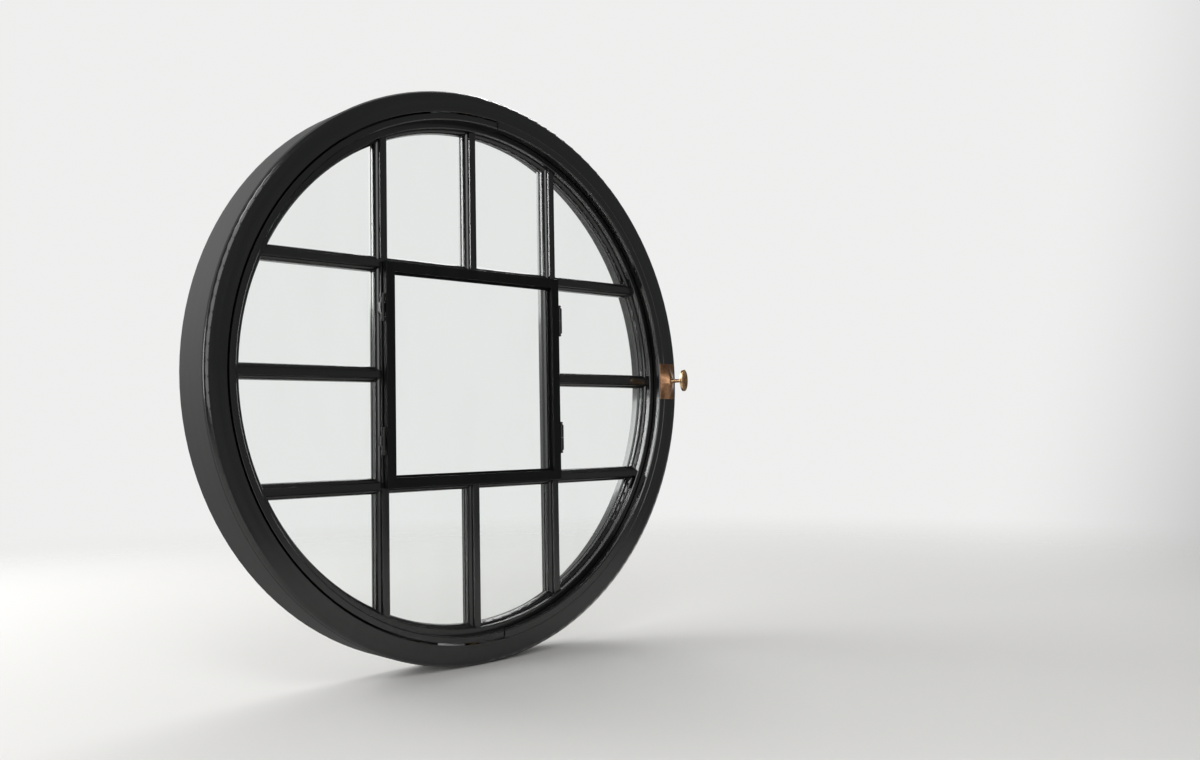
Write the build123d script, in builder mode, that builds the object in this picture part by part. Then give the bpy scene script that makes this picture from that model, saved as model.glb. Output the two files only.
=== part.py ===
from build123d import *
import os
from math import sqrt

# Round timber window with a fixed ring frame, a round sash that turns on an upright centre pivot,
# twelve small panes, and a square vent leaf that opens into the room in the middle of the sash.
# Millimetres. X runs to the right seen from the room, Y runs outdoors, Z is up.
# The origin is the middle of the window, in the plane of the noses of the glazing bars.

# Fixed frame ring
frame_radius = 458.0
frame_wall = 33.0
frame_front = -20.0
frame_back = 60.0
frame_shoulder = 7.0

# Stop beads that the sash closes against
bead_width = 13.0
bead_depth = 14.0
bead_ease = 1.5
bead_play = 2.0
joint_ease = 0.5
seal_width = 6.0
seal_play = 0.3

# Sash rim
sash_gap = 3.0
rim_width = 20.0
rim_front = -4.0
rim_back = 40.0
arris_ease = 1.0

# Section of the glazing bars, whose noses lie at depth zero
bar_pitch = 169.0
nose_width = 12.0
nose_depth = 6.0
quirk = 1.0
moulding_width = 6.0
moulding_depth = 14.0
moulding_bulge = 1.6
glass_seat = 17.0
rib_width = 8.0
rib_back = 38.0

# Glass and putty
glass_thickness = 4.0
glass_play = 1.2
rebate_width = 8.0
putty_depth = 12.0
putty_lip = 0.8

# Square vent leaf
vent_opening_side = 6.0
vent_overlap = 9.4
vent_play = 2.5
vent_face_width = 15.4
vent_face_front = -11.0
vent_face_back = -1.5
vent_step = 9.0
vent_lip = 3.5
vent_lip_thickness = 2.5
vent_back = 21.0
vent_round = 1.0
vent_putty_depth = 9.0

# Vent hinges on the right and snap catches on the left
hinge_height = 101.0
hinge_length = 42.0
hinge_radius = 4.0
hinge_gap = 0.5
hinge_depth = -7.0
hinge_pin_radius = 2.0
hinge_pin_margin = 3.0
hinge_joint_gap = 0.4
hinge_tab = 2.5
hinge_foot = 5.5
hinge_neck = 4.0
running_play = 0.05
stud_radius = 3.0
stud_end_height = 6.0
clip_wall = 1.6
clip_length = 14.0
clip_play = 0.3
clip_mouth = -8.5

# Centre pivots at the top and bottom of the sash
pivot_depth = 18.0
pivot_radius = 6.0
pivot_head_radius = 10.0
pivot_head_height = 4.0
pivot_head_sink = 0.6
pivot_reach = 15.0
pivot_end_play = 0.5
pivot_lead = 1.0
bush_radius = 9.0
bush_length = 16.0
bush_flange_radius = 12.0
bush_flange_play = 0.35
swing_radius = 52.0
swing_play = 1.0

# Latch on the right of the frame
latch_inset = 5.5
latch_plate_width = 36.0
latch_plate_height = 66.0
latch_plate_thickness = 1.5
latch_boss_height = 11.0
latch_boss_top = 8.0
latch_boss_end_height = 1.0
latch_boss_end_top = 2.0
stem_radius = 3.4
stem_length = 29.0
stem_play = 0.3
knob_height = 40.0
knob_width = 18.0
knob_thickness = 5.0
knob_edge = 1.2
knob_flare = 1.5
spindle_radius = 2.5
spindle_play = 0.5
spindle_grip = 12.0
cam_front = 17.0
cam_thickness = 4.0
cam_width = 8.0
cam_reach = 22.0
cam_play = 1.0
cam_screw_radius = 3.6
cam_screw_height = 2.0
keep_thickness = 1.5
keep_width = 14.0
keep_length = 52.0
keep_sink = 0.8
keep_screw_radius = 2.2
keep_screw_margin = 5.0
keep_screw_length = 9.0

# Sizes that follow from those above
frame_bore = frame_radius - frame_wall
bead_bore = frame_bore - bead_width
sash_radius = frame_bore - sash_gap
rim_arris = sash_radius - rim_width
sight_radius = rim_arris - moulding_width
rebate_radius = sight_radius + rebate_width
half_nose = nose_width / 2
half_rib = rib_width / 2
glass_back = glass_seat + glass_thickness
room_bead_back = frame_front + bead_depth
outer_bead_front = rim_back + bead_play
outer_bead_back = outer_bead_front + bead_depth
vent_opening = bar_pitch - vent_opening_side
vent_face_outer = vent_opening + vent_overlap
vent_face_inner = vent_face_outer - vent_face_width
vent_web_outer = vent_opening - vent_play
vent_sight = vent_face_inner - vent_lip
vent_lip_front = vent_face_front + vent_step
vent_glass_front = vent_lip_front + vent_lip_thickness
vent_glass_back = vent_glass_front + glass_thickness
vent_pane_half = vent_face_inner - glass_play
vent_putty_half = vent_face_inner - putty_lip
hinge_axis = vent_face_outer + hinge_gap + hinge_radius
bar_side = bar_pitch + half_nose
latch_radius = frame_bore + latch_inset
far = 2 * frame_radius

os.makedirs("parts", exist_ok=True)


def finish(piece, name):
    """Label a finished piece and write it to its own file."""
    piece.part.label = name
    export_step(piece.part, f"parts/{name}.step")


def at_depth(depth):
    """Upright plane that faces the room; a negative extrusion from it goes outdoors."""
    return Plane.XZ.offset(-depth)


def moulded_edge(edge, side, front):
    """Moulding from its nose to the glass seat, stepping out to the given side of a square edge."""
    arris = Polyline(
        (edge - side * arris_ease, front),
        (edge, front + arris_ease),
        (edge, nose_depth),
        (edge + side * quirk, nose_depth),
    )
    ovolo = SagittaArc(
        arris @ 1,
        (edge + side * moulding_width, moulding_depth),
        -side * moulding_bulge,
    )
    Line(ovolo @ 1, (edge + side * moulding_width, glass_seat))


def bar_section():
    """Cross section of a glazing bar, across by depth: moulded nose and the rib between the panes."""
    with BuildSketch() as section:
        with BuildLine():
            Line((0, 0), (half_nose - arris_ease, 0))
            moulded_edge(half_nose, 1, 0)
            Polyline(
                (half_nose + moulding_width, glass_seat),
                (half_rib, glass_seat),
                (half_rib, rib_back),
                (0, rib_back),
            )
            mirror(about=Plane.YZ)
        make_face()
    return section.sketch


def pane_outline(west, east, south, north, inset, radius):
    """Area between four bar axes, drawn in from the bars and cut to a circle."""
    Circle(radius)
    with Locations(((west + east) / 2, (south + north) / 2)):
        Rectangle(
            east - west - 2 * inset, north - south - 2 * inset, mode=Mode.INTERSECT
        )


def ring_section(inner, outer, nose, root, inner_ease, outer_ease):
    """Section of a ring, radius by depth, with the two arrises of its nose eased."""
    inward = 1 if root > nose else -1
    with BuildSketch() as section:
        with BuildLine():
            Polyline(
                (inner + inner_ease, nose),
                (inner, nose + inward * inner_ease),
                (inner, root),
                (outer, root),
                (outer, nose + inward * outer_ease),
                (outer - outer_ease, nose),
                close=True,
            )
        make_face()
    return section.sketch


# Round space inside the moulded edge of the rim, which the glazing bars are scribed to
with BuildPart() as rim_space:
    with BuildSketch(Plane.XY):
        with BuildLine():
            Line((0, rim_front), (rim_arris + arris_ease, rim_front))
            moulded_edge(rim_arris, -1, rim_front)
            Polyline(
                (sight_radius, glass_seat),
                (rebate_radius, glass_seat),
                (rebate_radius, rim_back),
                (0, rim_back),
                (0, rim_front),
            )
        make_face()
    revolve(axis=Axis.Y)

# Square well between the four middle bars, which the vent leaf closes
with BuildPart() as vent_well:
    with BuildSketch(at_depth(vent_face_front)):
        Rectangle(2 * vent_opening, 2 * vent_opening)
    extrude(amount=vent_face_front - frame_back)

# What is cut from a whole bead ring to leave its moving half, with the core round the pivot axis
# that its ends swing in
cut_from_moving = {}
for side, other_middle in (("right", -frame_radius), ("left", frame_radius)):
    with BuildPart() as moving_cut:
        with BuildSketch(at_depth(2 * frame_front)):
            with Locations((other_middle, 0)):
                Rectangle(2 * frame_radius, 2 * frame_radius)
        extrude(amount=2 * frame_front - 2 * frame_back)
        with BuildSketch(Plane((0, pivot_depth, -frame_radius))):
            Circle(swing_radius)
        extrude(amount=2 * frame_radius, mode=Mode.SUBTRACT)
    cut_from_moving[side] = moving_cut.part


def end_of_fixed(side, nose, root):
    """Plane that ends a fixed half ring, tangent to the space that the moving ends swing through."""
    clear_radius = swing_radius + swing_play
    depth = (nose + root) / 2 - pivot_depth
    across = sqrt(clear_radius**2 - depth**2) * (1 if side == "right" else -1)
    return Plane((across, depth + pivot_depth, 0), z_dir=(across, depth, 0))


# Frame ring, with its pivot holes, the hole for the latch spindle and the slot for the cam
slot_front = cam_front - cam_play
slot_back = cam_front + cam_thickness + cam_screw_height + cam_play
slot_bottom = -cam_width / 2 - cam_play
slot_top = cam_reach + cam_play
slot_right = latch_radius + cam_width / 2 + cam_play
with BuildPart() as frame_ring:
    with BuildSketch(Plane.XY):
        with BuildLine():
            Polyline(
                (frame_radius, frame_front + frame_shoulder),
                (frame_radius, frame_back),
                (frame_bore, frame_back),
                (frame_bore, frame_front + joint_ease),
                (frame_bore + joint_ease, frame_front),
                (frame_radius - frame_shoulder, frame_front),
            )
            TangentArc(
                (frame_radius - frame_shoulder, frame_front),
                (frame_radius, frame_front + frame_shoulder),
                tangent=(1, 0),
            )
        make_face()
    revolve(axis=Axis.Y)
    for up in (1, -1):
        with BuildSketch(Plane((0, pivot_depth, 0), z_dir=(0, 0, up))):
            Circle(pivot_radius)
        extrude(amount=frame_radius, mode=Mode.SUBTRACT)
        head_seat = up * (frame_radius - pivot_head_height - pivot_head_sink)
        with BuildSketch(Plane((0, pivot_depth, head_seat), z_dir=(0, 0, up))):
            Circle(pivot_head_radius)
        extrude(amount=frame_wall, mode=Mode.SUBTRACT)
    with BuildSketch(at_depth(frame_front)):
        with Locations((latch_radius, 0)):
            Circle(spindle_radius + spindle_play)
    extrude(amount=frame_front - slot_front, mode=Mode.SUBTRACT)
    with BuildSketch(at_depth(slot_front)):
        with Locations(((slot_right + sash_radius) / 2, (slot_bottom + slot_top) / 2)):
            Rectangle(slot_right - sash_radius, slot_top - slot_bottom)
    extrude(amount=slot_front - slot_back, mode=Mode.SUBTRACT)
finish(frame_ring, "frame_ring")

# Stop beads: on each face one half is fixed to the frame and the other half rides on the sash
bead_specs = {
    "room_bead_fixed": ("right", True, frame_front, room_bead_back),
    "room_bead_moving": ("left", False, frame_front, rim_front),
    "outer_bead_fixed": ("left", True, outer_bead_back, outer_bead_front),
    "outer_bead_moving": ("right", False, outer_bead_back, rim_back),
}
for name, (side, fixed, nose, root) in bead_specs.items():
    with BuildPart() as bead:
        with BuildSketch(Plane.XY):
            add(
                ring_section(
                    bead_bore,
                    frame_bore if fixed else sash_radius,
                    nose,
                    root,
                    bead_ease,
                    joint_ease,
                )
            )
        revolve(axis=Axis.Y)
        if fixed:
            split(bisect_by=end_of_fixed(side, nose, root), keep=Keep.TOP)
        else:
            add(cut_from_moving[side], mode=Mode.SUBTRACT)
    finish(bead, name)

# Draught seals behind the fixed beads, just clear of the closed sash
seal_specs = {
    "room_seal": ("right", room_bead_back, rim_front - seal_play),
    "outer_seal": ("left", rim_back + seal_play, outer_bead_front),
}
for name, (side, front, back) in seal_specs.items():
    with BuildPart() as seal:
        with BuildSketch(Plane.XY):
            with Locations((bead_bore + bead_width / 2, (front + back) / 2)):
                Rectangle(seal_width, back - front)
        revolve(axis=Axis.Y)
        nose, root = bead_specs[name.replace("seal", "bead_fixed")][2:]
        split(bisect_by=end_of_fixed(side, nose, root), keep=Keep.TOP)
    finish(seal, name)

# Pivot pins, driven through the frame at the top and the bottom, and their bushes in the sash
for name, up in (("top", 1), ("bottom", -1)):
    pin_tip = sash_radius - pivot_reach
    head_seat = frame_radius - pivot_head_height - pivot_head_sink
    with BuildPart() as pivot_pin:
        with BuildSketch(Plane((0, pivot_depth, up * pin_tip), z_dir=(0, 0, up))):
            Circle(pivot_radius)
        extrude(amount=head_seat - pin_tip)
        with BuildSketch(Plane((0, pivot_depth, up * head_seat), z_dir=(0, 0, up))):
            Circle(pivot_head_radius)
        extrude(amount=pivot_head_height)
        tip = pivot_pin.edges().filter_by(GeomType.CIRCLE).sort_by(Axis.Z)[::up][0]
        chamfer(tip, pivot_lead)
    finish(pivot_pin, f"pivot_pin_{name}")

    bush_end = sash_radius - bush_length
    flange_top = frame_bore - bush_flange_play
    with BuildPart() as bush:
        with BuildSketch(Plane((0, pivot_depth, up * bush_end), z_dir=(0, 0, up))):
            Circle(bush_radius)
        extrude(amount=bush_length)
        with BuildSketch(Plane((0, pivot_depth, up * sash_radius), z_dir=(0, 0, up))):
            Circle(bush_flange_radius)
        extrude(amount=flange_top - sash_radius)
        bore_start = pin_tip - pivot_end_play
        with BuildSketch(Plane((0, pivot_depth, up * bore_start), z_dir=(0, 0, up))):
            Circle(pivot_radius + running_play)
        extrude(amount=frame_radius - bore_start, mode=Mode.SUBTRACT)
    finish(bush, f"pivot_bush_{name}")

# Sash rim, bored for the pivot bushes and slotted for the latch cam
keep_face = sash_radius - keep_sink
keep_middle = (slot_bottom + slot_top) / 2
keep_depth = cam_front + cam_thickness / 2
mortise_height = cam_reach + cam_width / 2 + 2 * cam_play
mortise_end = latch_radius - cam_reach - cam_play
with BuildPart() as sash_rim:
    with BuildSketch(Plane.XY):
        with BuildLine():
            Line(
                (sash_radius - joint_ease, rim_front),
                (rim_arris + arris_ease, rim_front),
            )
            moulded_edge(rim_arris, -1, rim_front)
            Polyline(
                (sight_radius, glass_seat),
                (rebate_radius, glass_seat),
                (rebate_radius, rim_back),
                (sash_radius, rim_back),
                (sash_radius, rim_front + joint_ease),
                (sash_radius - joint_ease, rim_front),
            )
        make_face()
    revolve(axis=Axis.Y)
    for up in (1, -1):
        bore_end = up * (sash_radius - bush_length)
        with BuildSketch(Plane((0, pivot_depth, bore_end), z_dir=(0, 0, up))):
            Circle(bush_radius)
        extrude(amount=frame_wall, mode=Mode.SUBTRACT)
    with BuildSketch(Plane.YZ.offset(mortise_end)):
        with Locations((keep_depth, keep_middle)):
            Rectangle(cam_thickness + 2 * cam_play, mortise_height)
    extrude(amount=frame_wall, mode=Mode.SUBTRACT)
    with BuildSketch(Plane.YZ.offset(keep_face - keep_thickness)):
        with Locations((keep_depth, keep_middle)):
            Rectangle(keep_width, keep_length)
    extrude(amount=frame_wall, mode=Mode.SUBTRACT)
    with BuildSketch(Plane.YZ.offset(keep_face - keep_screw_length)):
        with Locations((keep_depth, keep_middle)):
            with GridLocations(0, keep_length - 2 * keep_screw_margin, 1, 2):
                Circle(keep_screw_radius / 2)
    extrude(amount=keep_screw_length, mode=Mode.SUBTRACT)
finish(sash_rim, "sash_rim")

# Brass keep let into the edge of the rim, with the slot that the cam turns into, and its screws
with BuildPart() as latch_keep:
    with BuildSketch(Plane.YZ.offset(keep_face - keep_thickness)):
        with Locations((keep_depth, keep_middle)):
            Rectangle(keep_width, keep_length)
            Rectangle(
                cam_thickness + 2 * cam_play, mortise_height, mode=Mode.SUBTRACT
            )
            with GridLocations(0, keep_length - 2 * keep_screw_margin, 1, 2):
                Circle(keep_screw_radius, mode=Mode.SUBTRACT)
    extrude(amount=keep_thickness)
finish(latch_keep, "latch_keep")

with BuildPart() as keep_screws:
    with BuildSketch(Plane.YZ.offset(keep_face - keep_thickness)):
        with Locations((keep_depth, keep_middle)):
            with GridLocations(0, keep_length - 2 * keep_screw_margin, 1, 2):
                Circle(keep_screw_radius)
    extrude(amount=keep_thickness)
    with BuildSketch(Plane.YZ.offset(keep_face - keep_screw_length)):
        with Locations((keep_depth, keep_middle)):
            with GridLocations(0, keep_length - 2 * keep_screw_margin, 1, 2):
                Circle(keep_screw_radius / 2)
    extrude(amount=keep_screw_length - keep_thickness)
finish(keep_screws, "keep_screws")

# Glazing bars: the two uprights run from rim to rim and the rest are scribed to them
uprights = []
for name, across in (("left", -bar_pitch), ("right", bar_pitch)):
    with BuildPart() as upright:
        with BuildSketch(Plane((across, 0, -frame_radius))):
            add(bar_section())
        extrude(amount=2 * frame_radius)
        add(rim_space.part, mode=Mode.INTERSECT)
        add(vent_well.part, mode=Mode.SUBTRACT)
    uprights.append(upright.part)
    finish(upright, f"bar_{name}_upright")

rails = []
for name, height in (("upper", bar_pitch), ("lower", -bar_pitch)):
    for stretch, left_end, right_end in (
        ("left", -frame_radius, -bar_pitch),
        ("centre", -bar_pitch, bar_pitch),
        ("right", bar_pitch, frame_radius),
    ):
        start = Plane((right_end, 0, height), x_dir=(0, 0, 1), z_dir=(-1, 0, 0))
        with BuildPart() as rail:
            with BuildSketch(start):
                add(bar_section())
            extrude(amount=right_end - left_end)
            add(rim_space.part, mode=Mode.INTERSECT)
            add(uprights, mode=Mode.SUBTRACT)
            add(vent_well.part, mode=Mode.SUBTRACT)
        rails.append(rail.part)
        finish(rail, f"bar_{name}_rail_{stretch}")

for name, left_end, right_end in (
    ("left", -frame_radius, -bar_pitch),
    ("right", bar_pitch, frame_radius),
):
    start = Plane((right_end, 0, 0), x_dir=(0, 0, 1), z_dir=(-1, 0, 0))
    with BuildPart() as middle_rail:
        with BuildSketch(start):
            add(bar_section())
        extrude(amount=right_end - left_end)
        add(rim_space.part, mode=Mode.INTERSECT)
        add(uprights, mode=Mode.SUBTRACT)
    finish(middle_rail, f"bar_middle_rail_{name}")

for name, bottom_end in (("top", bar_pitch), ("bottom", -frame_radius)):
    with BuildPart() as middle_upright:
        with BuildSketch(Plane((0, 0, bottom_end))):
            add(bar_section())
        extrude(amount=frame_radius - bar_pitch)
        add(rim_space.part, mode=Mode.INTERSECT)
        add(rails, mode=Mode.SUBTRACT)
    finish(middle_upright, f"bar_middle_upright_{name}")

# Panes of the sash, row by row, and the putty that beds each of them from outdoors
columns = {
    "far_left": (-far, -bar_pitch),
    "left": (-bar_pitch, 0),
    "right": (0, bar_pitch),
    "far_right": (bar_pitch, far),
}
rows = {
    "top": (bar_pitch, far, tuple(columns)),
    "upper": (0, bar_pitch, ("far_left", "far_right")),
    "lower": (-bar_pitch, 0, ("far_left", "far_right")),
    "bottom": (-far, -bar_pitch, tuple(columns)),
}
for row, (south, north, filled) in rows.items():
    for column in filled:
        west, east = columns[column]
        with BuildPart() as pane:
            with BuildSketch(at_depth(glass_seat)):
                pane_outline(
                    west,
                    east,
                    south,
                    north,
                    half_rib + glass_play,
                    rebate_radius - glass_play,
                )
            extrude(amount=-glass_thickness)
        finish(pane, f"pane_{row}_{column}")

    with BuildPart() as putty:
        for column in filled:
            west, east = columns[column]
            with BuildSketch(at_depth(glass_back)):
                pane_outline(west, east, south, north, half_rib, rebate_radius)
            extrude(amount=-putty_depth)
            with BuildSketch(at_depth(glass_back)):
                pane_outline(
                    west,
                    east,
                    south,
                    north,
                    half_nose + moulding_width,
                    sight_radius,
                )
            with BuildSketch(at_depth(glass_back + putty_depth)):
                pane_outline(
                    west,
                    east,
                    south,
                    north,
                    half_rib + putty_lip,
                    rebate_radius - putty_lip,
                )
            loft(ruled=True, mode=Mode.SUBTRACT)
    finish(putty, f"putty_{row}")

# Vent leaf: a flat face in front of the bars, a web inside their opening and a lip for the glass
with BuildPart() as vent_frame:
    with BuildSketch(at_depth(vent_face_front)):
        Rectangle(2 * vent_face_outer, 2 * vent_face_outer)
        Rectangle(2 * vent_face_inner, 2 * vent_face_inner, mode=Mode.SUBTRACT)
    extrude(amount=vent_face_front - vent_face_back)
    fillet(vent_frame.edges().group_by(Axis.Y)[0], vent_round)
    with BuildSketch(at_depth(vent_lip_front)):
        Rectangle(2 * vent_web_outer, 2 * vent_web_outer)
        Rectangle(2 * vent_sight, 2 * vent_sight, mode=Mode.SUBTRACT)
    extrude(amount=vent_lip_front - vent_glass_front)
    with BuildSketch(at_depth(vent_glass_front)):
        Rectangle(2 * vent_web_outer, 2 * vent_web_outer)
        Rectangle(2 * vent_face_inner, 2 * vent_face_inner, mode=Mode.SUBTRACT)
    extrude(amount=vent_glass_front - vent_back)
finish(vent_frame, "vent_frame")

with BuildPart() as vent_pane:
    with BuildSketch(at_depth(vent_glass_front)):
        Rectangle(2 * vent_pane_half, 2 * vent_pane_half)
    extrude(amount=-glass_thickness)
finish(vent_pane, "vent_pane")

with BuildPart() as vent_putty:
    with BuildSketch(at_depth(vent_glass_back)):
        Rectangle(2 * vent_face_inner, 2 * vent_face_inner)
    extrude(amount=-vent_putty_depth)
    with BuildSketch(at_depth(vent_glass_back)):
        Rectangle(2 * vent_sight, 2 * vent_sight)
    with BuildSketch(at_depth(vent_glass_back + vent_putty_depth)):
        Rectangle(2 * vent_putty_half, 2 * vent_putty_half)
    loft(ruled=True, mode=Mode.SUBTRACT)
finish(vent_putty, "vent_putty")

# Lift-off hinges of the vent: lower barrel on the bar, upper barrel on the leaf, pin between them
half_hinge = hinge_length / 2
half_gap = hinge_joint_gap / 2
half_pin = half_hinge - hinge_pin_margin
for name, height in (("upper", hinge_height), ("lower", -hinge_height)):
    with BuildPart() as hinge_base:
        with BuildSketch(Plane.XY.offset(height - half_hinge)):
            with Locations((hinge_axis, hinge_depth)):
                Circle(hinge_radius)
            with Locations((bar_side + hinge_tab / 2, (hinge_depth + hinge_foot) / 2)):
                Rectangle(hinge_tab, hinge_foot - hinge_depth)
        extrude(amount=half_hinge - half_gap)
        with BuildSketch(Plane.XY.offset(height - half_pin)):
            with Locations((hinge_axis, hinge_depth)):
                Circle(hinge_pin_radius)
        extrude(amount=half_pin, mode=Mode.SUBTRACT)
    finish(hinge_base, f"hinge_base_{name}")

    with BuildPart() as hinge_knuckle:
        with BuildSketch(Plane.XY.offset(height + half_gap)):
            with Locations((hinge_axis, hinge_depth)):
                Circle(hinge_radius)
            with Locations(((vent_face_outer + hinge_axis) / 2, hinge_depth)):
                Rectangle(hinge_axis - vent_face_outer, hinge_neck)
        extrude(amount=half_hinge - half_gap)
        with BuildSketch(Plane.XY.offset(height + half_gap)):
            with Locations((hinge_axis, hinge_depth)):
                Circle(hinge_pin_radius + running_play)
        extrude(amount=half_pin + half_gap, mode=Mode.SUBTRACT)
    finish(hinge_knuckle, f"hinge_knuckle_{name}")

with BuildPart() as hinge_pins:
    for height in (hinge_height, -hinge_height):
        with BuildSketch(Plane.XY.offset(height - half_pin)):
            with Locations((hinge_axis, hinge_depth)):
                Circle(hinge_pin_radius)
        extrude(amount=2 * half_pin)
finish(hinge_pins, "hinge_pins")

# Snap catches: an upright stud on the leaf rests in a spring clip on the bar
clip_inner = hinge_axis + stud_radius + clip_play
clip_floor = hinge_depth + stud_radius + clip_play
for name, height in (("upper", hinge_height), ("lower", -hinge_height)):
    with BuildPart() as catch_stud:
        with BuildSketch(Plane.XY.offset(height - half_hinge)):
            with Locations((-hinge_axis, hinge_depth)):
                Circle(stud_radius)
        extrude(amount=hinge_length)
        for end in (-half_hinge, half_hinge - stud_end_height):
            with BuildSketch(Plane.XY.offset(height + end)):
                with Locations((-hinge_axis, hinge_depth)):
                    Circle(hinge_radius)
                with Locations((-(vent_face_outer + hinge_axis) / 2, hinge_depth)):
                    Rectangle(hinge_axis - vent_face_outer, hinge_neck)
            extrude(amount=stud_end_height)
    finish(catch_stud, f"catch_stud_{name}")

    with BuildPart() as catch_clip:
        with BuildSketch(Plane.XY.offset(height - clip_length / 2)):
            with BuildLine():
                Polyline(
                    (-bar_side, clip_floor),
                    (-bar_side, hinge_foot),
                    (-bar_side - clip_wall, hinge_foot),
                    (-bar_side - clip_wall, clip_floor + clip_wall),
                    (-clip_inner - clip_wall, clip_floor + clip_wall),
                    (-clip_inner - clip_wall, clip_mouth),
                    (-clip_inner, clip_mouth),
                    (-clip_inner, clip_floor),
                    close=True,
                )
            make_face()
        extrude(amount=clip_length)
    finish(catch_clip, f"catch_clip_{name}")

# Latch: boss plate on the frame, thumb turn in front, spindle through the frame and cam behind
boss_base = frame_front - latch_plate_thickness
boss_front = boss_base - latch_boss_height
half_plate = latch_plate_height / 2
half_top = latch_boss_top / 2
boss_sections = (
    (-half_plate, latch_boss_end_height, latch_boss_end_top),
    (-half_top, latch_boss_height, latch_boss_top),
    (half_top, latch_boss_height, latch_boss_top),
    (half_plate, latch_boss_end_height, latch_boss_end_top),
)
with BuildPart() as latch_plate:
    for level, height, top in boss_sections:
        with BuildSketch(Plane((latch_radius, boss_base, level))):
            Polygon(
                (-latch_plate_width / 2, 0),
                (latch_plate_width / 2, 0),
                (top / 2, -height),
                (-top / 2, -height),
                align=None,
            )
    loft(ruled=True)
    with BuildSketch(at_depth(frame_front)):
        with Locations((latch_radius, 0)):
            Rectangle(latch_plate_width, latch_plate_height)
    extrude(amount=latch_plate_thickness)
    with BuildSketch(at_depth(frame_front)):
        with Locations((latch_radius, 0)):
            Circle(spindle_radius + running_play)
    extrude(amount=frame_front - boss_front, mode=Mode.SUBTRACT)
finish(latch_plate, "latch_plate")

stem_start = boss_front - stem_play
knob_back = stem_start - stem_length
with BuildPart() as thumb_turn:
    with BuildSketch(at_depth(stem_start)):
        with Locations((latch_radius, 0)):
            Circle(stem_radius)
    extrude(amount=stem_length)
    with BuildSketch(at_depth(knob_back)):
        with Locations((latch_radius, 0)):
            Ellipse(knob_width / 2, knob_height / 2)
    extrude(amount=knob_thickness)
    chamfer(thumb_turn.edges().group_by(Axis.Y)[0], knob_edge)
    stem_root = thumb_turn.faces().filter_by(GeomType.CYLINDER).edges().sort_by(Axis.Y)[0]
    chamfer(stem_root, knob_flare)
    with BuildSketch(at_depth(stem_start)):
        with Locations((latch_radius, 0)):
            Circle(spindle_radius)
    extrude(amount=spindle_grip, mode=Mode.SUBTRACT)
finish(thumb_turn, "thumb_turn")

cam_back = cam_front + cam_thickness
with BuildPart() as latch_spindle:
    with BuildSketch(at_depth(stem_start - spindle_grip)):
        with Locations((latch_radius, 0)):
            Circle(spindle_radius)
    extrude(amount=stem_start - spindle_grip - cam_back)
finish(latch_spindle, "latch_spindle")

with BuildPart() as latch_cam:
    with BuildSketch(at_depth(cam_front)):
        with Locations((latch_radius, (cam_reach - cam_width / 2) / 2)):
            SlotOverall(cam_reach + cam_width / 2, cam_width, rotation=90)
        with Locations((latch_radius, 0)):
            Circle(spindle_radius, mode=Mode.SUBTRACT)
    extrude(amount=-cam_thickness)
finish(latch_cam, "latch_cam")

with BuildPart() as cam_screw:
    with BuildSketch(at_depth(cam_back)):
        with Locations((latch_radius, 0)):
            Circle(cam_screw_radius)
    extrude(amount=-cam_screw_height)
finish(cam_screw, "cam_screw")
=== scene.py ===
import math

import bpy
from mathutils import Matrix, Vector


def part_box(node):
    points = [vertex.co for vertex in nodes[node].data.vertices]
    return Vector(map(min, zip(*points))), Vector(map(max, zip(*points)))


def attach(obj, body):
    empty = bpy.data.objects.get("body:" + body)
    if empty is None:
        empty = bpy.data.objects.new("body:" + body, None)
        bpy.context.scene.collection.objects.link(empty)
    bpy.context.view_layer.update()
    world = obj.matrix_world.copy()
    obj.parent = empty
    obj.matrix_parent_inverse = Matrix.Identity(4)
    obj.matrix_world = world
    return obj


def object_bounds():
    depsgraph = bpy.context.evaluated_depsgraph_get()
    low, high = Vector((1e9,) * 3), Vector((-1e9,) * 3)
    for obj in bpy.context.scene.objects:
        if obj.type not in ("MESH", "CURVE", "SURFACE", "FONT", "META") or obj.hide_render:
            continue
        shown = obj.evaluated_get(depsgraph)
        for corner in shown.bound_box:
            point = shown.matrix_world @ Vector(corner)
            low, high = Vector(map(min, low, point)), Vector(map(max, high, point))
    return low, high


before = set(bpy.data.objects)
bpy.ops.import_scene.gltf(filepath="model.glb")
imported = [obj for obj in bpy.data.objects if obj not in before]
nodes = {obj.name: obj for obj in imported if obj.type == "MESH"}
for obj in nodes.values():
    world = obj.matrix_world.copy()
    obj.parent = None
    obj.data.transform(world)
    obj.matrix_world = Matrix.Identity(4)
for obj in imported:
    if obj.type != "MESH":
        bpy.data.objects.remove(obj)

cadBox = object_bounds()
print("frame loaded:", len(nodes), "nodes")

# Camera at the viewing angle of the photograph

cameraSettings = {
    "place": (-1.0369, -1.4008, -0.0955),
    "yaw": 43.171,
    "pitch": 2.868,
    "roll": -1.038,
    "lens": 32.015,
    "sensor": 36,
    "clipStart": 0.02,
}


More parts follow.
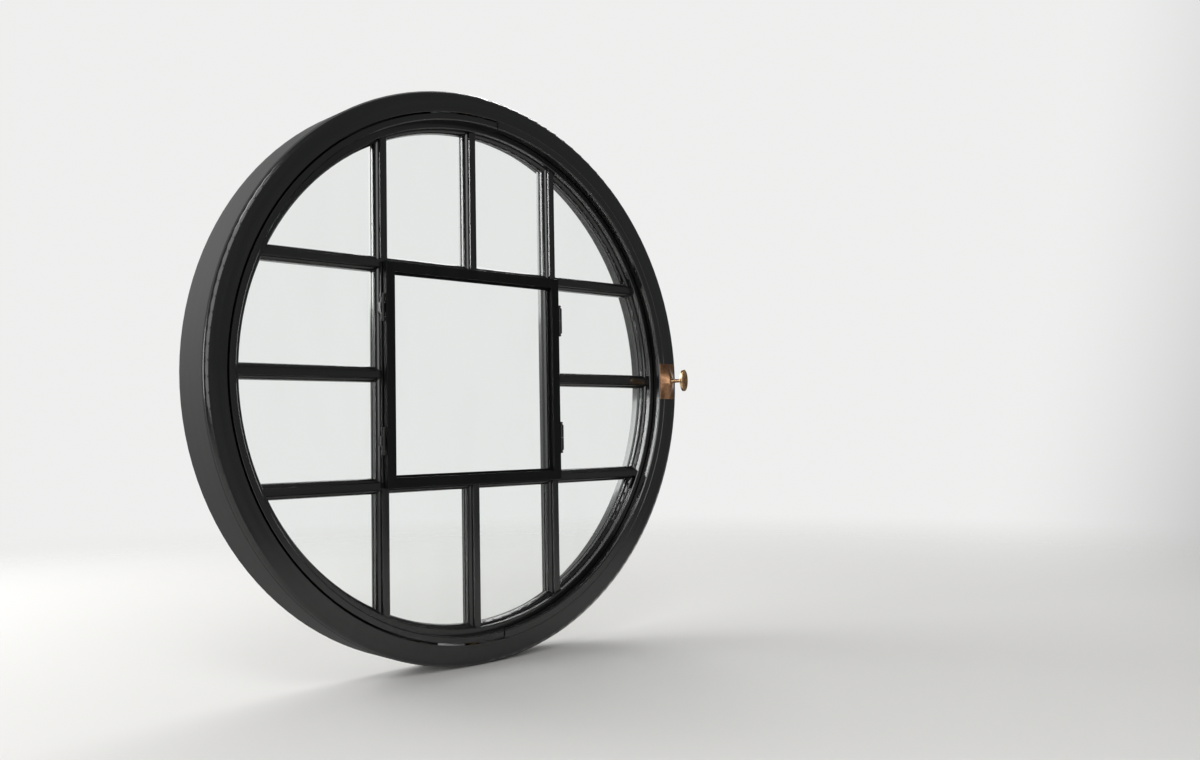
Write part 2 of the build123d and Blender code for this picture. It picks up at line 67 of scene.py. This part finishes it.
def makeCamera(settings):
    yaw, pitch, roll = (math.radians(settings[k]) for k in ("yaw", "pitch", "roll"))
    level = math.cos(pitch)
    forward = Vector((math.sin(yaw) * level, math.cos(yaw) * level, math.sin(pitch)))
    right = Vector((math.cos(yaw), -math.sin(yaw), 0))
    up = right.cross(forward)
    tiltedRight = right * math.cos(roll) + up * math.sin(roll)
    tiltedUp = up * math.cos(roll) - right * math.sin(roll)
    data = bpy.data.cameras.new("camera")
    data.lens = settings["lens"]
    data.sensor_width = settings["sensor"]
    data.clip_start = settings["clipStart"]
    camera = bpy.data.objects.new("camera", data)
    turn = Matrix((tiltedRight, tiltedUp, -forward)).transposed()  # columns are the camera's own axes
    camera.matrix_world = Matrix.Translation(settings["place"]) @ turn.to_4x4()
    bpy.context.scene.collection.objects.link(camera)
    bpy.context.scene.camera = camera


makeCamera(cameraSettings)
bpy.context.scene.view_settings.view_transform = "Standard"
print("camera placed")

# Helpers for node trees


def feed(tree, value, socket):
    if hasattr(value, "is_output"):  # another node's output is linked, a plain value is set
        tree.links.new(value, socket)
    else:
        socket.default_value = value


def addNode(tree, kind, values=None, **attributes):
    node = tree.nodes.new(kind)
    for name, value in attributes.items():
        setattr(node, name, value)
    for name, value in (values or {}).items():
        feed(tree, value, node.inputs[name])
    return node


def mathNode(tree, operation, a, b=0.0, clamp=False):
    return addNode(tree, "ShaderNodeMath", {0: a, 1: b}, operation=operation, use_clamp=clamp).outputs[0]


def rangeNode(tree, value, low, high, newLow=0.0, newHigh=1.0):
    return addNode(tree, "ShaderNodeMapRange", {
        "Value": value, "From Min": low, "From Max": high, "To Min": newLow, "To Max": newHigh,
    }, interpolation_type="SMOOTHSTEP").outputs["Result"]


def blendColours(tree, factor, a, b):
    node = tree.nodes.new("ShaderNodeMix")
    node.data_type = "RGBA"
    for index, value in ((0, factor), (6, a), (7, b)):  # the colour sockets of the mix node
        feed(tree, value, node.inputs[index])
    return node.outputs[2]


def noiseNode(tree, vector, scale, detail=3.0, roughness=0.5):
    return addNode(tree, "ShaderNodeTexNoise", {
        "Vector": vector, "Scale": scale, "Detail": detail, "Roughness": roughness,
    }).outputs["Fac"]


def stretched(tree, vector, scale):
    return addNode(tree, "ShaderNodeMapping", {"Vector": vector, "Scale": scale}).outputs["Vector"]


def newGroup(name, inputs, outputs):
    group = bpy.data.node_groups.new(name, "ShaderNodeTree")
    kinds = {"value": "NodeSocketFloat", "colour": "NodeSocketColor", "vector": "NodeSocketVector"}
    for socketName, kind, start in inputs:
        socket = group.interface.new_socket(socketName, in_out="INPUT", socket_type=kinds[kind])
        if start is not None:
            socket.default_value = start
    for socketName, kind in outputs:
        group.interface.new_socket(socketName, in_out="OUTPUT", socket_type=kinds[kind])
    entry = group.nodes.new("NodeGroupInput")
    result = group.nodes.new("NodeGroupOutput")
    return group, entry.outputs, result.inputs


def useGroup(tree, group, values):
    node = tree.nodes.new("ShaderNodeGroup")
    node.node_tree = group
    for name, value in values.items():
        feed(tree, value, node.inputs[name])
    return node.outputs


def colour(red, green, blue):
    return (red, green, blue, 1.0)


# Shared effects


edgeWearSettings = {
    "radius": 0.001,
    "amount": 0.5,
    "patchScale": 60.0,
    "patchDetail": 4.0,
    "patchRoughness": 0.6,
    "samples": 4,
    "turn": (0.01, 0.2),
    "worn": (0.3, 0.55),
}


def makeEdgeWear(settings):
    group, given, result = newGroup("edge wear", [
        ("Radius", "value", settings["radius"]), ("Amount", "value", settings["amount"]),
        ("Patch Scale", "value", settings["patchScale"]), ("Vector", "vector", None),
    ], [("Mask", "value"), ("Normal", "vector")])
    link = group.links.new
    bevel = addNode(group, "ShaderNodeBevel", {"Radius": given["Radius"]}, samples=settings["samples"])
    rounded = bevel.outputs["Normal"]
    plain = group.nodes.new("ShaderNodeNewGeometry").outputs["Normal"]
    dot = addNode(group, "ShaderNodeVectorMath", {0: rounded, 1: plain}, operation="DOT_PRODUCT")
    turn = mathNode(group, "SUBTRACT", 1.0, dot.outputs["Value"])
    patch = noiseNode(
        group, given["Vector"], given["Patch Scale"], settings["patchDetail"], settings["patchRoughness"])
    edge = rangeNode(group, turn, *settings["turn"])
    worn = rangeNode(group, mathNode(group, "MULTIPLY", edge, patch), *settings["worn"])
    link(mathNode(group, "MULTIPLY", worn, given["Amount"], True), result["Mask"])
    link(rounded, result["Normal"])
    return group


dustSettings = {
    "amount": 0.3,
    "scale": 40.0,
    "slope": (0.35, 0.95),
    "cloudDetail": 5.0,
    "cloudRoughness": 0.65,
    "cloud": (0.35, 0.7, 0.3, 1.0),
    "speckScale": 1600.0,
    "speckDetail": 1.0,
    "speck": (0.3, 0.6, 0.5, 1.0),
}


def makeDust(settings):
    group, given, result = newGroup("settled dust", [
        ("Amount", "value", settings["amount"]), ("Scale", "value", settings["scale"]),
        ("Vector", "vector", None),
    ], [("Mask", "value")])
    normal = group.nodes.new("ShaderNodeNewGeometry").outputs["Normal"]
    up = addNode(group, "ShaderNodeSeparateXYZ", {0: normal}).outputs["Z"]
    flat = rangeNode(group, up, *settings["slope"])
    cloud = noiseNode(
        group, given["Vector"], given["Scale"], settings["cloudDetail"], settings["cloudRoughness"])
    speck = noiseNode(group, given["Vector"], settings["speckScale"], settings["speckDetail"])
    cover = mathNode(group, "MULTIPLY", flat, rangeNode(group, cloud, *settings["cloud"]))
    cover = mathNode(group, "MULTIPLY", cover, rangeNode(group, speck, *settings["speck"]))
    group.links.new(mathNode(group, "MULTIPLY", cover, given["Amount"], True), result["Mask"])
    return group


brushSettings = {
    "streaks": 900.0,
    "streakDetail": 2.0,
    "streakRoughness": 0.55,
    "streakShare": 0.5,
    "peel": 420.0,
    "peelDetail": 1.0,
    "peelShare": 0.5,
    "toneScale": 90.0,
}


def makeBrushMarks(settings):
    group, given, result = newGroup("brush marks", [
        ("Vector", "vector", None), ("Streaks", "value", settings["streaks"]),
        ("Peel", "value", settings["peel"]),
    ], [("Height", "value"), ("Tone", "value")])
    streak = noiseNode(
        group, given["Vector"], given["Streaks"], settings["streakDetail"], settings["streakRoughness"])
    broad = noiseNode(group, given["Vector"], settings["toneScale"])
    peel = noiseNode(group, given["Vector"], given["Peel"], settings["peelDetail"])
    streak = mathNode(group, "MULTIPLY", streak, settings["streakShare"])
    peel = mathNode(group, "MULTIPLY", peel, settings["peelShare"])
    group.links.new(mathNode(group, "ADD", streak, peel), result["Height"])
    group.links.new(broad, result["Tone"])
    return group


ringCoordsSettings = {"radius": 0.44}


def makeRingCoords(settings):
    group, given, result = newGroup("ring coordinates", [
        ("Vector", "vector", None), ("Radius", "value", settings["radius"]),
    ], [("Vector", "vector")])
    parts = addNode(group, "ShaderNodeSeparateXYZ", {0: given["Vector"]}).outputs
    angle = mathNode(group, "ARCTAN2", parts["Z"], parts["X"])
    around = mathNode(group, "MULTIPLY", angle, given["Radius"])
    flat = addNode(group, "ShaderNodeCombineXYZ", {0: parts["X"], 1: 0.0, 2: parts["Z"]}).outputs[0]
    outward = addNode(group, "ShaderNodeVectorMath", {0: flat}, operation="LENGTH").outputs["Value"]
    unrolled = addNode(group, "ShaderNodeCombineXYZ", {0: around, 1: outward, 2: parts["Y"]})
    group.links.new(unrolled.outputs[0], result["Vector"])
    return group


edgeWear = makeEdgeWear(edgeWearSettings)
settledDust = makeDust(dustSettings)
brushMarks = makeBrushMarks(brushSettings)
ringCoords = makeRingCoords(ringCoordsSettings)
print("shared effects made")

# Materials


def startMaterial(name, plain):
    material = bpy.data.materials.new(name)
    material.use_nodes = True
    tree = material.node_tree
    tree.nodes.clear()
    shader = tree.nodes.new("ShaderNodeBsdfPrincipled")
    output = tree.nodes.new("ShaderNodeOutputMaterial")
    tree.links.new(shader.outputs[0], output.inputs["Surface"])
    for socket, value in plain.items():
        shader.inputs[socket].default_value = value
    place = tree.nodes.new("ShaderNodeTexCoord").outputs["Object"]
    return material, tree, shader, place


paintSettings = {
    "black": colour(0.0022, 0.0024, 0.0023),
    "lighter": colour(0.0042, 0.0045, 0.0043),
    "worn": colour(0.03, 0.026, 0.022),
    "dust": colour(0.09, 0.085, 0.078),
    "specular": 0.5,
    "smooth": 0.17,
    "rough": 0.27,
    "bevel": 0.0004,
    "wear": 0.3,
    "dustAmount": 0.12,
    "dustRough": 0.5,
    "grain": 0.03,
    "tone": (0.35, 0.7),
    "gloss": (0.3, 0.7),
    "brushDepth": 0.000004,
    "brushStrength": 0.5,
    "primed": 0.85,
    "primedFrom": (0.4565, 0.4575),
    "coat": 0.5,
    "coatRough": 0.07,
}


def makePaint(name, direction, changes=None):
    s = {**paintSettings, **(changes or {})}
    material, tree, shader, place = startMaterial(name, {
        "Specular IOR Level": s["specular"], "Coat Roughness": s["coatRough"], "Coat Weight": s["coat"],
    })
    if direction == "ring":
        place = useGroup(tree, ringCoords, {"Vector": place})["Vector"]
    scale = (1, 1, s["grain"]) if direction == "upright" else (s["grain"], 1, 1)
    along = stretched(tree, place, scale)
    marks = useGroup(tree, brushMarks, {"Vector": along})
    wear = useGroup(tree, edgeWear, {"Vector": place, "Radius": s["bevel"], "Amount": s["wear"]})
    dust = useGroup(tree, settledDust, {"Vector": place, "Amount": s["dustAmount"]})["Mask"]
    tone = rangeNode(tree, marks["Tone"], *s["tone"])
    body = blendColours(tree, tone, s["black"], s["lighter"])
    body = blendColours(tree, wear["Mask"], body, s["worn"])
    body = blendColours(tree, dust, body, s["dust"])
    tree.links.new(body, shader.inputs["Base Color"])
    gloss = rangeNode(tree, marks["Tone"], *s["gloss"], s["smooth"], s["rough"])
    gloss = mathNode(tree, "ADD", gloss, mathNode(tree, "MULTIPLY", dust, s["dustRough"]), True)
    if direction == "ring":  # the edge that the wall covers is only primed
        outward = addNode(tree, "ShaderNodeSeparateXYZ", {0: place}).outputs["Y"]
        covered = rangeNode(tree, outward, *s["primedFrom"])
        gloss = mathNode(tree, "MAXIMUM", gloss, mathNode(tree, "MULTIPLY", covered, s["primed"]))
        coat = rangeNode(tree, outward, *s["primedFrom"], s["coat"], 0.0)
        tree.links.new(coat, shader.inputs["Coat Weight"])
    tree.links.new(gloss, shader.inputs["Roughness"])
    bump = addNode(tree, "ShaderNodeBump", {
        "Strength": s["brushStrength"], "Distance": s["brushDepth"], "Height": marks["Height"],
    })
    tree.links.new(bump.outputs[0], shader.inputs["Normal"])
    return material


metalSettings = {
    "wear": 0.8,
    "wearScale": 220.0,
    "bevel": 0.0006,
    "patinaScale": 140.0,
    "patinaDetail": 5.0,
    "patinaRoughness": 0.62,
    "patinaRough": 0.1,
    "clean": 0.35,
    "fade": 0.33,
    "fineScale": 2600.0,
    "fineDetail": 2.0,
    "fine": (0.2, 0.8),
    "bumpStrength": 0.4,
    "bumpDepth": 0.00003,
}


def makeMetal(name, changes):
    s = {**metalSettings, **changes}
    material, tree, shader, place = startMaterial(name, {"Metallic": 1.0})
    patina = noiseNode(tree, place, s["patinaScale"], s["patinaDetail"], s["patinaRoughness"])
    fine = noiseNode(tree, place, s["fineScale"], s["fineDetail"])
    edge = useGroup(tree, edgeWear, {
        "Vector": place, "Radius": s["bevel"], "Amount": s["wear"], "Patch Scale": s["wearScale"],
    })
    cover = rangeNode(tree, patina, s["clean"], s["clean"] + s["fade"])
    cover = mathNode(tree, "MULTIPLY", cover, mathNode(tree, "SUBTRACT", 1.0, edge["Mask"]), True)
    tree.links.new(blendColours(tree, cover, s["bright"], s["dark"]), shader.inputs["Base Color"])
    gloss = rangeNode(tree, fine, *s["fine"], s["smooth"], s["rough"])
    gloss = mathNode(tree, "ADD", gloss, mathNode(tree, "MULTIPLY", cover, s["patinaRough"]), True)
    tree.links.new(gloss, shader.inputs["Roughness"])
    bump = addNode(tree, "ShaderNodeBump", {
        "Strength": s["bumpStrength"], "Distance": s["bumpDepth"], "Height": fine, "Normal": edge["Normal"],
    })
    tree.links.new(bump.outputs[0], shader.inputs["Normal"])
    return material


glassSettings = {
    "index": 1.5,
    "clear": colour(0.965, 0.985, 0.975),
    "smeared": colour(0.94, 0.965, 0.95),
    "smearStretch": 0.35,
    "smearScale": 14.0,
    "smearDetail": 4.0,
    "smearRoughness": 0.6,
    "smear": (0.5, 0.85, 0.0, 0.05),
    "tint": (0.4, 0.8),
    "waveStretch": 0.6,
    "waveScale": 9.0,
    "waveDetail": 1.0,
    "waveStrength": 0.25,
    "waveDepth": 0.0004,
}


def makeGlass(name, settings):
    material, tree, shader, place = startMaterial(
        name, {"Transmission Weight": 1.0, "IOR": settings["index"]})
    smear = noiseNode(
        tree, stretched(tree, place, (1, 1, settings["smearStretch"])),
        settings["smearScale"], settings["smearDetail"], settings["smearRoughness"])
    tree.links.new(rangeNode(tree, smear, *settings["smear"]), shader.inputs["Roughness"])
    tint = rangeNode(tree, smear, *settings["tint"])
    body = blendColours(tree, tint, settings["clear"], settings["smeared"])
    tree.links.new(body, shader.inputs["Base Color"])
    wave = noiseNode(
        tree, stretched(tree, place, (1, 1, settings["waveStretch"])),
        settings["waveScale"], settings["waveDetail"])
    bump = addNode(tree, "ShaderNodeBump", {
        "Strength": settings["waveStrength"], "Distance": settings["waveDepth"], "Height": wave,
    })
    tree.links.new(bump.outputs[0], shader.inputs["Normal"])
    return material


matteSettings = {
    "specular": 0.3,
    "grainDetail": 4.0,
    "grainRoughness": 0.6,
    "fineness": 6,
    "fineDetail": 2.0,
    "share": (0.3, 0.7),
    "roughSpread": 0.08,
    "bumpStrength": 0.5,
}


def makeMatte(name, changes):
    s = {**matteSettings, **changes}
    material, tree, shader, place = startMaterial(name, {"Specular IOR Level": s["specular"]})
    grain = noiseNode(tree, place, s["scale"], s["grainDetail"], s["grainRoughness"])
    fine = noiseNode(tree, place, s["scale"] * s["fineness"], s["fineDetail"])
    body = blendColours(tree, rangeNode(tree, grain, *s["share"]), s["deep"], s["pale"])
    tree.links.new(body, shader.inputs["Base Color"])
    rough = rangeNode(tree, fine, *s["share"], s["rough"] - s["roughSpread"], s["rough"] + s["roughSpread"])
    tree.links.new(rough, shader.inputs["Roughness"])
    bump = addNode(tree, "ShaderNodeBump", {
        "Strength": s["bumpStrength"], "Distance": s["depth"], "Height": grain,
    })
    tree.links.new(bump.outputs[0], shader.inputs["Normal"])
    return material


paintRing = makePaint("ring paint", "ring")
paintUpright = makePaint("upright paint", "upright")
paintRail = makePaint("rail paint", "rail")
paintLeaf = makePaint("leaf paint", "upright", {
    "specular": 0.15, "smooth": 0.45, "rough": 0.6, "bevel": 0.0002, "wear": 0.1, "coat": 0.0,
})
paintIron = makePaint("ironwork paint", "upright", {
    "specular": 0.45, "smooth": 0.24, "rough": 0.36, "wear": 0.8, "worn": colour(0.11, 0.08, 0.055),
    "bevel": 0.0007, "coat": 0.0,
})
brassPlate = makeMetal("dulled brass", {
    "bright": colour(0.36, 0.2, 0.11), "dark": colour(0.2, 0.105, 0.056),
    "smooth": 0.24, "rough": 0.34, "wear": 0.9, "patinaScale": 70.0, "bevel": 0.0003,
})
brass = makeMetal("handled brass", {
    "bright": colour(0.86, 0.62, 0.36), "dark": colour(0.27, 0.15, 0.07),
    "smooth": 0.22, "rough": 0.32, "wear": 1.0, "patinaScale": 90.0, "clean": 0.28,
})
brassBush = makeMetal("turned brass", {
    "bright": colour(0.72, 0.5, 0.24), "dark": colour(0.45, 0.28, 0.12), "smooth": 0.18, "rough": 0.3,
})
steel = makeMetal("turned steel", {
    "bright": colour(0.5, 0.5, 0.51), "dark": colour(0.28, 0.27, 0.26), "smooth": 0.2, "rough": 0.34,
})
glass = makeGlass("clear glass", glassSettings)
putty = makeMatte("painted putty", {
    "deep": colour(0.004, 0.004, 0.004), "pale": colour(0.009, 0.009, 0.009),
    "rough": 0.45, "scale": 160.0, "depth": 0.0002,
})
rubber = makeMatte("seal rubber", {
    "deep": colour(0.006, 0.006, 0.006), "pale": colour(0.012, 0.012, 0.012),
    "rough": 0.7, "scale": 700.0, "depth": 0.00005,
})
print("materials made")


def materialOf(name):
    if name.startswith("pane_") or name == "vent_pane":
        return glass
    if "putty" in name:
        return putty
    if name.endswith("_seal"):
        return rubber
    if name.startswith("latch_plate"):
        return brassPlate
    if name.startswith(("thumb_turn", "latch_keep", "keep_screws")):
        return brass
    if name.startswith("pivot_bush"):
        return brassBush
    if name.startswith(("pivot_pin", "hinge_pins", "latch_spindle", "latch_cam", "cam_screw")):
        return steel
    if name.startswith(("hinge_", "catch_")):
        return paintIron
    if name == "vent_frame":
        return paintLeaf
    if "upright" in name:
        return paintUpright
    if "rail" in name:
        return paintRail
    return paintRing


for name, node in nodes.items():
    node.data.materials.clear()
    node.data.materials.append(materialOf(name))
print("nodes dressed")

# Small turned pieces


turnedSettings = {"steps": 32, "crease": 40}


def makePiece(name, points, faces, material, body):
    mesh = bpy.data.meshes.new(name)
    mesh.from_pydata(points, [], faces)
    mesh.polygons.foreach_set("use_smooth", [True] * len(mesh.polygons))
    mesh.set_sharp_from_angle(angle=math.radians(turnedSettings["crease"]))
    mesh.materials.append(material)
    piece = bpy.data.objects.new(name, mesh)
    bpy.context.scene.collection.objects.link(piece)
    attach(piece, body)


def turned(profile, place, axis, ring=False):
    steps = turnedSettings["steps"]
    turn = Vector(axis).to_track_quat("Z", "Y")
    points = [
        Vector(place) + turn @ Vector((radius * math.cos(a), radius * math.sin(a), height))
        for radius, height in profile
        for a in (math.tau * i / steps for i in range(steps))
    ]
    rows = len(profile)
    faces = []
    for row in range(rows if ring else rows - 1):
        low, high = row * steps, (row + 1) % rows * steps
        for i in range(steps):
            after = (i + 1) % steps
            faces.append((low + i, low + after, high + after, high + i))
    if not ring:
        faces += [tuple(reversed(range(steps))), tuple(range((rows - 1) * steps, rows * steps))]
    return points, faces


finialSettings = {
    "profile": [
        (0.0031, 0.0), (0.0034, 0.0004), (0.0034, 0.0010), (0.0030, 0.0014),
        (0.0018, 0.0018), (0.0016, 0.0023), (0.0020, 0.0027), (0.0026, 0.0034),
        (0.0028, 0.0042), (0.0026, 0.0050), (0.0019, 0.0057), (0.0008, 0.0061),
    ],
}


def makeFinials(settings):
    low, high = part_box("hinge_pins")
    across, depth = (low.x + high.x) / 2, (low.y + high.y) / 2
    for place in ("upper", "lower"):
        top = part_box("hinge_knuckle_" + place)[1].z
        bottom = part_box("hinge_base_" + place)[0].z
        for end, height, way, body in (("top", top, 1, "vent"), ("bottom", bottom, -1, "sash")):
            points, faces = turned(settings["profile"], (across, depth, height), (0, 0, way))
            makePiece("finial_" + place + "_" + end, points, faces, paintIron, body)


collarSettings = {
    "profile": [
        (0.00375, -0.0006), (0.0046, -0.0006), (0.0049, 0.0002),
        (0.0049, 0.0009), (0.0044, 0.0016), (0.00375, 0.0016),
    ],
}


def makeCollar(settings):
    low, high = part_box("latch_plate")
    turnLow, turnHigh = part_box("latch_spindle")
    place = ((low.x + high.x) / 2, low.y, (turnLow.z + turnHigh.z) / 2)
    points, faces = turned(settings["profile"], place, (0, -1, 0), ring=True)
    makePiece("stem_collar", points, faces, brass, "frame")


headSettings = {"radius": 0.0088, "height": 0.0012, "ease": 0.0003, "slot": 0.0018, "steps": 24}


def slottedHead(settings, place, axis):
    turn = Vector(axis).to_track_quat("Z", "Y")
    points, faces = [], []
    for side in (1, -1):
        first = len(points)
        outlines = (
            (0.0, 0.0), (0.0, settings["height"] - settings["ease"]), (settings["ease"], settings["height"]),
        )
        count = settings["steps"] + 1
        for inset, height in outlines:
            radius = settings["radius"] - inset
            start = math.asin((settings["slot"] / 2 + inset) / radius)
            for i in range(count):
                a = start + (math.pi - 2 * start) * i / settings["steps"]
                corner = Vector((radius * math.cos(a) * side, radius * math.sin(a) * side, height))
                points.append(Vector(place) + turn @ corner)
        for row in range(2):
            low, high = first + row * count, first + (row + 1) * count
            for i in range(count):
                after = (i + 1) % count
                faces.append((low + i, low + after, high + after, high + i))
        top = first + 2 * count
        faces += [tuple(reversed(range(first, first + count))), tuple(range(top, top + count))]
    return points, faces


def makeHeads(settings):
    for place, way, edge in (("top", 1, 1), ("bottom", -1, 0)):
        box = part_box("pivot_pin_" + place)
        middle = (box[0] + box[1]) / 2
        points, faces = slottedHead(settings, (middle.x, middle.y, box[edge].z), (0, 0, way))
        makePiece("pivot_head_" + place, points, faces, steel, "frame")


makeFinials(finialSettings)
makeCollar(collarSettings)
makeHeads(headSettings)
print("turned pieces made")

# Floor, world and lamps

stageSettings = {
    "floorLevel": cadBox[0].z - 0.0005,
    "floorRadius": 16.0,
    "floorCorners": 96,
    "floorColour": colour(0.66, 0.655, 0.64),
    "floorSpecular": 0.2,
    "floorRough": 0.7,
    "floorFade": (0.8, 3.2),
    "dimSide": colour(0.21, 0.21, 0.215),
    "brightSide": colour(0.86, 0.86, 0.855),
    "heightShare": 0.25,
    "sideBlend": (0.08, 0.44),
}


def makeFloor(settings):
    radius, corners = settings["floorRadius"], settings["floorCorners"]
    points = [
        (radius * math.cos(a), radius * math.sin(a), settings["floorLevel"])
        for a in (math.tau * i / corners for i in range(corners))
    ]
    mesh = bpy.data.meshes.new("floor")
    mesh.from_pydata(points, [], [list(range(len(points)))])
    floor = bpy.data.objects.new("floor", mesh)
    bpy.context.scene.collection.objects.link(floor)
    material, tree, shader, place = startMaterial("pale floor", {
        "Base Color": settings["floorColour"], "Specular IOR Level": settings["floorSpecular"],
        "Roughness": settings["floorRough"],
    })
    distance = addNode(tree, "ShaderNodeVectorMath", {0: place}, operation="LENGTH").outputs["Value"]
    tree.links.new(rangeNode(tree, distance, *settings["floorFade"], 1.0, 0.0), shader.inputs["Alpha"])
    mesh.materials.append(material)


def makeWorld(settings):
    world = bpy.data.worlds.new("studio")
    bpy.context.scene.world = world
    world.use_nodes = True
    tree = world.node_tree
    tree.nodes.clear()
    direction = tree.nodes.new("ShaderNodeTexCoord").outputs["Generated"]
    parts = addNode(tree, "ShaderNodeSeparateXYZ", {0: direction}).outputs
    lift = mathNode(tree, "ADD", parts["Y"], mathNode(tree, "MULTIPLY", parts["Z"], settings["heightShare"]))
    share = rangeNode(tree, lift, *settings["sideBlend"])
    background = tree.nodes.new("ShaderNodeBackground")
    sides = blendColours(tree, share, settings["dimSide"], settings["brightSide"])
    tree.links.new(sides, background.inputs["Color"])
    output = tree.nodes.new("ShaderNodeOutputWorld")
    tree.links.new(background.outputs[0], output.inputs["Surface"])


lampSettings = {
    "key": {"place": (-1.6, -1.9, 2.5), "size": (1.0, 1.0), "power": 18.0},
    "sky": {"place": (-1.25, 2.45, 1.05), "size": (1.9, 1.3), "power": 56.0},
    "left": {"place": (-3.6, 0.5, 0.3), "size": (1.8, 1.2), "power": 54.0},
    "above": {"place": (1.75, 1.15, 2.05), "size": (1.3, 0.6), "power": 16.0},
    "room": {"place": (-1.1, -2.5, 0.9), "size": (1.8, 2.4), "power": 32.0},
    "back": {"place": (2.2, 2.8, 2.2), "size": (1.2, 1.2), "power": 10.0},
}


def makeLamp(name, settings):
    data = bpy.data.lights.new(name, "AREA")
    data.shape = "RECTANGLE"
    data.size, data.size_y = settings["size"]
    data.energy = settings["power"]
    lamp = bpy.data.objects.new(name, data)
    lamp.location = settings["place"]
    lamp.rotation_mode = "QUATERNION"
    lamp.rotation_quaternion = (-Vector(settings["place"])).to_track_quat("-Z", "Y")
    bpy.context.scene.collection.objects.link(lamp)


makeFloor(stageSettings)
makeWorld(stageSettings)
for name, settings in lampSettings.items():
    makeLamp(name, settings)
print("studio lit")
